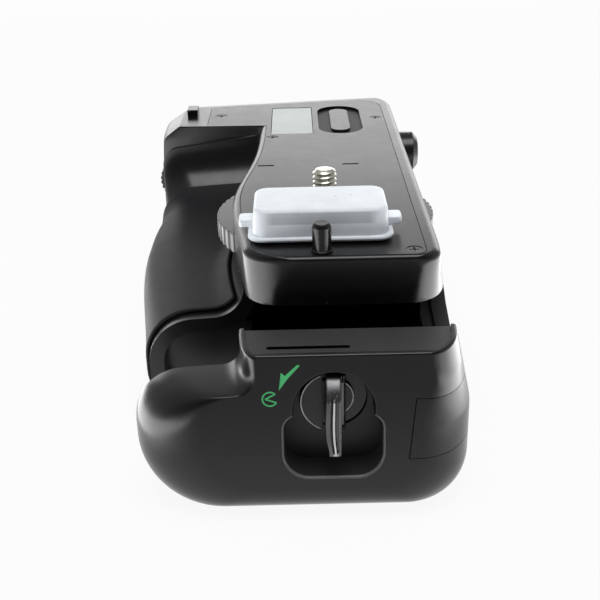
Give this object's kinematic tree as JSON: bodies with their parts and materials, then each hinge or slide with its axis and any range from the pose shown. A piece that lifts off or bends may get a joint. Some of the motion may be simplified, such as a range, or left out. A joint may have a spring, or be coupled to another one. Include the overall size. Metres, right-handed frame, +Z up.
{
  "type": "camera battery grip",
  "caption": "Vertical camera battery grip with a handgrip bar, attachment wheel and screw, portrait controls and a latched battery tray that pulls out of one end.",
  "frame": {"origin": "mouth of the tripod socket in the base, 1.5 mm in front of the axis of the attachment screw", "axes": "+Z up to the camera seat, +Y along the length away from the tray end, +X to the back of the camera"},
  "size_m": [0.0855, 0.1761, 0.0595],
  "materials": {
    "body_plastic": "black satin moulded plastic",
    "plate_plastic": "black plastic with a fine grain",
    "gloss_shell": "black semi-gloss plastic",
    "control_plastic": "black semi-gloss plastic",
    "grip_rubber": "black textured rubber",
    "flap_rubber": "black smooth rubber",
    "clear_plastic": "translucent white plastic",
    "label_film": "blank pale label film",
    "dark_steel": "blackened steel",
    "nickel": "pale nickel plate",
    "contact_brass": "gilded contact metal",
    "board": "green circuit board"
  },
  "bodies": {
    "housing": {"main_housing": "body_plastic", "top_plate": "plate_plastic", "plate_screws": "dark_steel", "label_plate": "label_film", "grip_rubber": "grip_rubber", "thumb_rubber": "grip_rubber", "base_plate": "plate_plastic", "base_screws": "dark_steel", "tripod_socket": "nickel", "contact_block": "plate_plastic", "signal_pins": "contact_brass", "guide_pin": "dark_steel", "main_board": "board", "chamber_contacts": "contact_brass", "front_axle": "nickel", "rear_axle": "nickel"},
    "cover": {"contact_cap": "clear_plastic"},
    "wheel": {"attachment_wheel": "control_plastic", "attachment_screw": "nickel", "retaining_ring": "nickel"},
    "shutter": {"shutter_button": "control_plastic"},
    "collar": {"lock_collar": "control_plastic"},
    "front_wheel": {"front_dial": "grip_rubber"},
    "rear_wheel": {"rear_dial": "grip_rubber"},
    "gimbal": {"pad_gimbal": "nickel"},
    "pad": {"direction_pad": "control_plastic"},
    "focus": {"focus_button": "control_plastic"},
    "tray": {"tray_end_cap": "gloss_shell", "tray_cradle": "plate_plastic", "tray_contacts": "contact_brass", "tray_screws": "dark_steel"},
    "knob": {"latch_knob": "control_plastic", "latch_cam": "nickel", "cam_screw": "dark_steel", "key_pin": "nickel"},
    "key": {"latch_key": "dark_steel"},
    "flap": {"cable_flap": "flap_rubber"}
  },
  "joints": [
    {"name": "tray_slide", "type": "slide", "parent": "housing", "child": "tray", "axis": [0, -1, 0], "range_m": [-0.0237, 0.07]},
    {"name": "latch_turn", "type": "hinge", "parent": "tray", "child": "knob", "pos_m": [0.0015, -0.06671, 0.0266], "axis": [0, -1, 0], "range_deg": [-90, 0]},
    {"name": "key_fold", "type": "hinge", "parent": "knob", "child": "key", "pos_m": [0.003, -0.06871, 0.0266], "axis": [0, 0, 1], "range_deg": [0, 90]},
    {"name": "flap_open", "type": "hinge", "parent": "tray", "child": "flap", "pos_m": [0.0322, -0.0606, 0.02], "axis": [0, 0, 1], "range_deg": [0, 80]},
    {"name": "cover_lift", "type": "slide", "parent": "housing", "child": "cover", "axis": [0, 0, 1], "range_m": [0, 0.03]},
    {"name": "wheel_turn", "type": "hinge", "parent": "housing", "child": "wheel", "pos_m": [0.002, 0, 0.0427], "axis": [0, 0, 1], "continuous": true},
    {"name": "shutter_press", "type": "slide", "parent": "housing", "child": "shutter", "axis": [0, -1, 0], "range_m": [0, 0.0012]},
    {"name": "lock_turn", "type": "hinge", "parent": "housing", "child": "collar", "pos_m": [-0.033, 0.0963, 0.027], "axis": [0, 1, 0], "range_deg": [0, 45]},
    {"name": "front_dial_turn", "type": "hinge", "parent": "housing", "child": "front_wheel", "pos_m": [-0.0438, 0.0755, 0.031], "axis": [0, 1, 0], "continuous": true},
    {"name": "rear_dial_turn", "type": "hinge", "parent": "housing", "child": "rear_wheel", "pos_m": [0.0238, 0.0873, 0.038], "axis": [0, 1, 0], "continuous": true},
    {"name": "pad_tilt_updown", "type": "hinge", "parent": "housing", "child": "gimbal", "pos_m": [0.0235, 0.066, 0.0413], "axis": [0, 1, 0], "range_deg": [-6, 6]},
    {"name": "pad_tilt_side", "type": "hinge", "parent": "gimbal", "child": "pad", "pos_m": [0.0235, 0.066, 0.0413], "axis": [0, 0, 1], "range_deg": [-6, 6]},
    {"name": "focus_press", "type": "slide", "parent": "housing", "child": "focus", "axis": [-1, 0, 0], "range_m": [0, 0.0008]}
  ]
}
